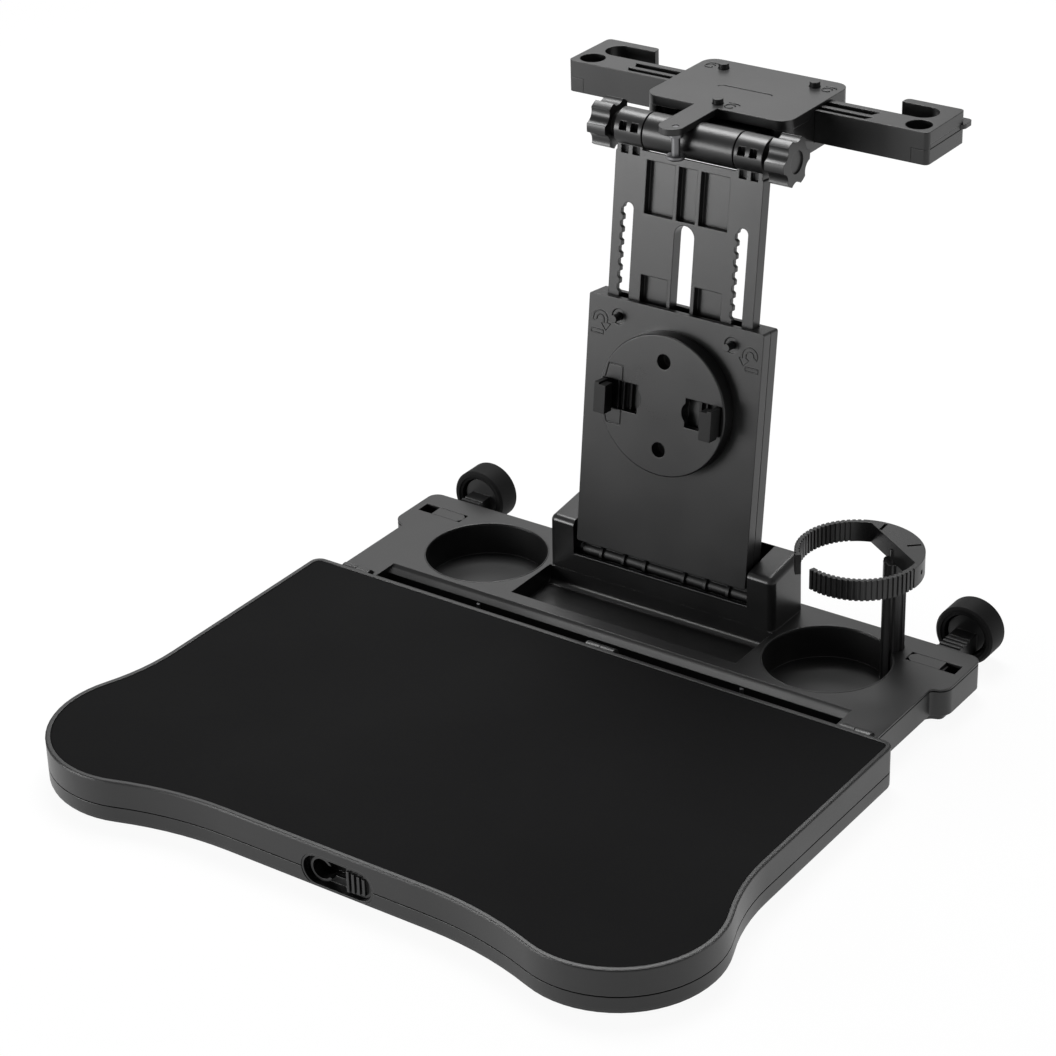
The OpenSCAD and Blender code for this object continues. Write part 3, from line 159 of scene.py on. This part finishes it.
shell = moulded("shell_plastic", (0.006, 0.006, 0.0062), 0.29, 2600.0, 0.25, edge=0.0007, flow=0.12)
part = moulded("part_plastic", (0.005, 0.005, 0.0052), 0.3, 2600.0, 0.25, edge=0.0004)
mat = moulded("mat", (0.0046, 0.0046, 0.0048), 0.7, 1800.0, 0.5, specular=0.05, spread=0.04, flow=0.05)
rubber = moulded("rubber", (0.0035, 0.0035, 0.0036), 0.55, 1500.0, 0.6, edge=0.0008, specular=0.12)
# near black, dull plastic on the table's parting groove: painted shade in the gap between the shells
seam = moulded("seam", (0.0015, 0.0015, 0.0015), 0.8, 2600.0, 0.2, edge=0.0001, specular=0.02)
# the jaws' own duller plastic; on the sleeve's hinge barrel it is painted shade for the shadow in the slot at
# the mast's foot
jaw_plastic_and_barrel_shade = moulded("jaw_plastic_and_painted_shade", (0.004, 0.004, 0.0042), 0.42, 2200.0, 0.3, edge=0.0004, specular=0.26)
metal = steel("steel", (0.16, 0.16, 0.165), 0.4)
by_slot = {"shell_plastic": shell, "part_plastic": part, "mat": mat, "rubber": rubber, "steel": metal}

for name, o in nodes.items():
    o.data.materials.clear()
    o.data.materials.append(jaw_plastic_and_barrel_shade if name.startswith("jaw_") else by_slot[slot_of[name]])


# ---------------------------------------------------- skins with smooth rounds
ROUNDED = (
    "table_upper", "table_lower", "base_top", "base_bottom", "sleeve_front", "sleeve_back",
    "turn_disc", "mast_plate", "bracket_body", "bracket_cover", "catch_pin", "knob_left",
    "knob_right", "cup_ring", "ring_post", "arm_left_upper", "arm_left_lower", "arm_right_upper",
    "arm_right_lower", "stem_left", "stem_right", "latch_plate")
SHARP = math.radians(31)  # an edge that turns more than this stays sharp
SEAM_Z = 0.0116           # the parting line round the table's edge
SEAM_REACH = 0.0004
BARREL_R = 0.0085         # the sleeve's hinge barrel, with its ribs
WELD, SLIVER = 2e-6, 1e-6 # corners closer than this are one, edges shorter than this go


# faces of the table's parting groove, which get painted shade
def in_seam(f):
    return all(abs(v.co.z - SEAM_Z) < SEAM_REACH for v in f.verts)


# faces of the sleeve's hinge barrel, which get painted shade
def in_barrel(f):
    c = f.calc_center_median()
    return math.hypot(c.y - tilt_axis[1], c.z - tilt_axis[2]) < BARREL_R


def skin(name):
    """The node's own shape with welded corners: its rounds shade smoothly between true edges. Faces of the
    table's parting groove and of the sleeve's hinge barrel get a darker material as painted shade.
    """
    mesh = nodes[name].data.copy()
    mesh.name = name + "_skin"
    if mesh.attributes.get("custom_normal"):
        mesh.attributes.remove(mesh.attributes["custom_normal"])
    painted_shade, chosen = None, None
    if name.startswith("table_"):
        # the parting groove gets near black plastic: painted shade
        painted_shade, chosen = seam, in_seam
    elif name.startswith("sleeve_"):
        # the hinge barrel gets the darker jaw plastic: painted shade
        painted_shade, chosen = jaw_plastic_and_barrel_shade, in_barrel
    if painted_shade:
        mesh.materials.append(painted_shade)
    bm = bmesh.new()
    bm.from_mesh(mesh)
    bmesh.ops.remove_doubles(bm, verts=bm.verts, dist=WELD)
    bmesh.ops.dissolve_degenerate(bm, edges=bm.edges, dist=SLIVER)
    for f in bm.faces:
        f.smooth = True
        if painted_shade and chosen(f):
            f.material_index = 1
    bm.to_mesh(mesh)
    bm.free()
    mesh.set_sharp_from_angle(angle=SHARP)
    o = bpy.data.objects.new(name + "_skin", mesh)
    o.matrix_world = nodes[name].matrix_world.copy()
    bpy.context.scene.collection.objects.link(o)
    normals = o.modifiers.new("normals", "WEIGHTED_NORMAL")
    normals.keep_sharp = True
    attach(o, body_of[name])
    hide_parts(name)


for name in ROUNDED:
    skin(name)


# ------------------------------------------------------- rims of the cup recesses
CUP_X, CUP_R = 125.3, 39      # millimetres, as are all sizes from here to the signs
RING_POST = (151, 33.5)
POST_REACH = 8.2              # the rim is open this near the post
RIM_STEPS = 144


def cup_rim(name, x, y, r):
    """The rounded bead round a cup recess, 0.25 mm proud, with a break at the ring's post."""
    profile = [(r + 0.05, 22.6), (r + 0.06, 23.45), (r + 0.25, 23.7), (r + 0.6, 23.75),
               (r + 0.95, 23.68), (r + 1.15, 23.3), (r + 0.7, 22.6)]
    crest = 3
    bm = bmesh.new()
    rows = []
    for i in range(RIM_STEPS):
        a = 2 * math.pi * i / RIM_STEPS
        rows.append([bm.verts.new(((x + q * math.cos(a)) / 1000, (y + q * math.sin(a)) / 1000, z / 1000))
                     for q, z in profile])
    free = [math.hypot(row[crest].co.x * 1000 - RING_POST[0],
                       row[crest].co.y * 1000 - RING_POST[1]) > POST_REACH for row in rows]
    for i in range(RIM_STEPS):
        n = (i + 1) % RIM_STEPS
        a, b = rows[i], rows[n]
        if free[i] and free[n]:
            for k in range(len(profile)):
                j = (k + 1) % len(profile)
                bm.faces.new((a[k], a[j], b[j], b[k])).smooth = True
        elif free[i] or free[n]:
            bm.faces.new(a if free[i] else b)
    bmesh.ops.delete(bm, geom=[v for v in bm.verts if not v.link_faces], context="VERTS")
    bmesh.ops.recalc_face_normals(bm, faces=bm.faces)
    mesh = bpy.data.meshes.new(name)
    bm.to_mesh(mesh)
    bm.free()
    mesh.materials.append(shell)
    o = bpy.data.objects.new(name, mesh)
    bpy.context.scene.collection.objects.link(o)
    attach(o, "base")


cup_rim("cup_rim_left", -CUP_X, 0, CUP_R)
cup_rim("cup_rim_right", CUP_X, 0, CUP_R)


# ------------------------------------------------- raised signs at the buttons
def arc(x, y, r, a0, a1, n):
    """Points of an arc between two angles in degrees."""
    angles = [math.radians(a0 + (a1 - a0) * i / n) for i in range(n + 1)]
    return [(x + r * math.cos(a), y + r * math.sin(a)) for a in angles]


def ribbon(bm, line, width, height, closed):
    """A flat raised band along a line, with chamfered edges and its foot sunk into the face."""
    n = len(line)
    half, crown, foot = width / 2, width / 3.2, -0.2
    section = ((-half, foot), (-half, height * 0.6), (-crown, height),
               (crown, height), (half, height * 0.6), (half, foot))
    rows = []
    for i, (x, y) in enumerate(line):
        x0, y0 = line[i - 1] if i or closed else (x, y)
        x1, y1 = line[(i + 1) % n] if i < n - 1 or closed else (x, y)
        d = math.hypot(x1 - x0, y1 - y0) or 1
        u, v = -(y1 - y0) / d, (x1 - x0) / d
        rows.append([bm.verts.new((x + u * a, y + v * a, b)) for a, b in section])
    for i in range(n if closed else n - 1):
        a, b = rows[i], rows[(i + 1) % n]
        for k in range(len(section)):
            j = (k + 1) % len(section)
            bm.faces.new((a[k], b[k], b[j], a[j]))
    if not closed:
        bm.faces.new(rows[0][::-1])
        bm.faces.new(rows[-1])


def sign(name, body, place, across, up, lines, width, height):
    """A raised outline sign on a face, drawn in millimetres on the plane of across and up."""
    bm = bmesh.new()
    for line, closed in lines:
        ribbon(bm, line, width, height, closed)
    bmesh.ops.recalc_face_normals(bm, faces=bm.faces)
    mesh = bpy.data.meshes.new(name)
    bm.to_mesh(mesh)
    bm.free()
    o = bpy.data.objects.new(name, mesh)
    x, y = Vector(across).normalized(), Vector(up).normalized()
    turn = Matrix((x, y, x.cross(y))).transposed().to_4x4()
    o.matrix_world = Matrix.Translation(Vector(place) / 1000) @ turn @ Matrix.Scale(0.001, 4)
    bpy.context.scene.collection.objects.link(o)
    mesh.materials.append(shell)
    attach(o, body)


def turn_arrow(side):
    """A bent arrow in outline that turns over to point down, with a small bar under it."""
    head = [(7.4, 0.2), (4.2, -4.6), (0.6, -0.4), (2.7, 0.3)]
    arrow = arc(0, 2.2, 5.2, 200, -20, 16) + head + arc(0, 2.2, 2.6, -10, 190, 12)
    bar = [(-6.2, -7.4), (2.6, -7.4), (2.6, -5.0), (-6.2, -5.0)]
    return [([(side * x, y) for x, y in line], True) for line in (arrow, bar)]


def catch_sign():
    """A round catch with an open bar over it."""
    return [(arc(0, -1.4, 3.1, 20, 330, 20), False), ([(-3.4, 3.4), (3.2, 3.4), (4.4, 2.2)], False)]


FOOT_Y, FOOT_Z = 22.87, 23.5             # the mast's foot
LEAN = math.radians(7)
SIGN_X, SIGN_UP, SIGN_OUT = 53.0, 167.5, 16.0   # across, along and in front of the leaning sleeve
COVER_TOP = 324.7
sin, cos = math.sin(LEAN), math.cos(LEAN)
for name, side in (("sleeve_sign_left", -1), ("sleeve_sign_right", 1)):
    place = (side * SIGN_X, FOOT_Y + SIGN_UP * sin - SIGN_OUT * cos, FOOT_Z + SIGN_UP * cos + SIGN_OUT * sin)
    sign(name, "sleeve", place, (1, 0, 0), (0, sin, cos), turn_arrow(-side), width=0.75, height=0.35)
for name, x, y in (("left", -41.5, 136.5), ("right", 41.5, 135.0), ("front", 6.5, 81.5)):
    sign("cover_sign_" + name, "bracket", (x, y, COVER_TOP), (1, 0, 0), (0, 1, 0), catch_sign(),
         width=0.9, height=0.45)


# ------------------------------------------------------------------- camera
def photo_camera():
    """The photograph's camera, as fitted to measured points of the object."""
    az, el, roll = math.radians(35.69), math.radians(28.0), math.radians(-1.72)
    back = Vector((math.sin(az) * math.cos(el), -math.cos(az) * math.cos(el), math.sin(el)))
    across = Vector((math.cos(az), math.sin(az), 0))
    up = back.cross(across)
    x = math.cos(roll) * across + math.sin(roll) * up
    y = -math.sin(roll) * across + math.cos(roll) * up
    turn = Matrix((x, y, back)).transposed()
    base_top = Vector((0, 0, 0.0235))
    place = turn @ Vector((-0.07632, 0.04685, 1.8845)) + base_top
    data = bpy.data.cameras.new("camera")
    data.lens = 103.67
    data.sensor_width = 36
    data.sensor_fit = "HORIZONTAL"
    data.clip_start = 0.05
    data.clip_end = 30
    cam = bpy.data.objects.new("camera", data)
    cam.matrix_world = Matrix.Translation(place) @ turn.to_4x4()
    bpy.context.scene.collection.objects.link(cam)
    bpy.context.scene.camera = cam


# ---------------------------------------------------------- floor and lights
def floor_material():
    """Pale grey to the light, and near white to the camera and in reflections."""
    m, t, bsdf = new_material("stage")
    bsdf.inputs["Base Color"].default_value = (0.86, 0.86, 0.86, 1)
    bsdf.inputs["Roughness"].default_value = 0.9
    glow = add(t, "ShaderNodeEmission", _Color=(1, 1, 1, 1), _Strength=1.0)
    path = add(t, "ShaderNodeLightPath")
    seen = add(t, "ShaderNodeMath", operation="MAXIMUM")
    fade = add(t, "ShaderNodeMath", operation="MULTIPLY")
    fade.inputs[1].default_value = 0.93
    mixer = add(t, "ShaderNodeMixShader")
    out = [n for n in t.nodes if n.type == "OUTPUT_MATERIAL"][0]
    wire(t, (path.outputs["Is Camera Ray"], seen.inputs[0]), (path.outputs["Is Glossy Ray"], seen.inputs[1]),
         (seen.outputs[0], fade.inputs[0]), (fade.outputs[0], mixer.inputs[0]),
         (bsdf.outputs[0], mixer.inputs[1]), (glow.outputs[0], mixer.inputs[2]),
         (mixer.outputs[0], out.inputs[0]))
    return m


def white_world():
    """A dim world for the light, white to the camera and partly white in reflections."""
    world = bpy.data.worlds.new("world")
    bpy.context.scene.world = world
    world.use_nodes = True
    t = world.node_tree
    dim = [n for n in t.nodes if n.type == "BACKGROUND"][0]
    out = [n for n in t.nodes if n.type == "OUTPUT_WORLD"][0]
    white = add(t, "ShaderNodeBackground")
    for background, strength in ((dim, 0.16), (white, 0.95)):
        background.inputs[0].default_value = (1, 1, 1, 1)
        background.inputs[1].default_value = strength
    path = add(t, "ShaderNodeLightPath")
    share = add(t, "ShaderNodeMath", operation="MULTIPLY_ADD")
    share.inputs[1].default_value = 0.3
    mixer = add(t, "ShaderNodeMixShader")
    wire(t, (path.outputs["Is Glossy Ray"], share.inputs[0]), (path.outputs["Is Camera Ray"], share.inputs[2]),
         (share.outputs[0], mixer.inputs[0]), (dim.outputs[0], mixer.inputs[1]),
         (white.outputs[0], mixer.inputs[2]), (mixer.outputs[0], out.inputs[0]))


def area(name, place, target, size, power):
    """A soft rectangular lamp that faces its target."""
    d = bpy.data.lights.new(name, "AREA")
    d.shape = "RECTANGLE"
    d.size, d.size_y = size
    d.energy = power
    o = bpy.data.objects.new(name, d)
    o.location = place
    o.rotation_euler = (Vector(target) - Vector(place)).to_track_quat("-Z", "Y").to_euler()
    bpy.context.scene.collection.objects.link(o)


def studio():
    half, drop = 6, 0.0005
    mesh = bpy.data.meshes.new("floor")
    mesh.from_pydata([(-half, -half, 0), (half, -half, 0), (half, half, 0), (-half, half, 0)],
                     [], [(0, 1, 2, 3)])
    floor = bpy.data.objects.new("floor", mesh)
    floor.location.z = -drop
    bpy.context.scene.collection.objects.link(floor)
    floor.data.materials.append(floor_material())
    white_world()
    area("left front", (-1.35, -1.75, 0.4), (0, 0, 0.22), (1.1, 0.8), 34)
    area("sky", (-1.35, 1.55, 1.15), (-0.1, 0, 0.15), (1.4, 0.8), 3)
    area("right", (1.75, 0.5, 0.5), (0, 0.1, 0.2), (0.8, 1.0), 5)
    area("top", (-0.5, 0.6, 1.8), (0, 0, 0.1), (1.0, 0.9), 46)


photo_camera()
studio()
bpy.context.scene.view_settings.view_transform = "Standard"
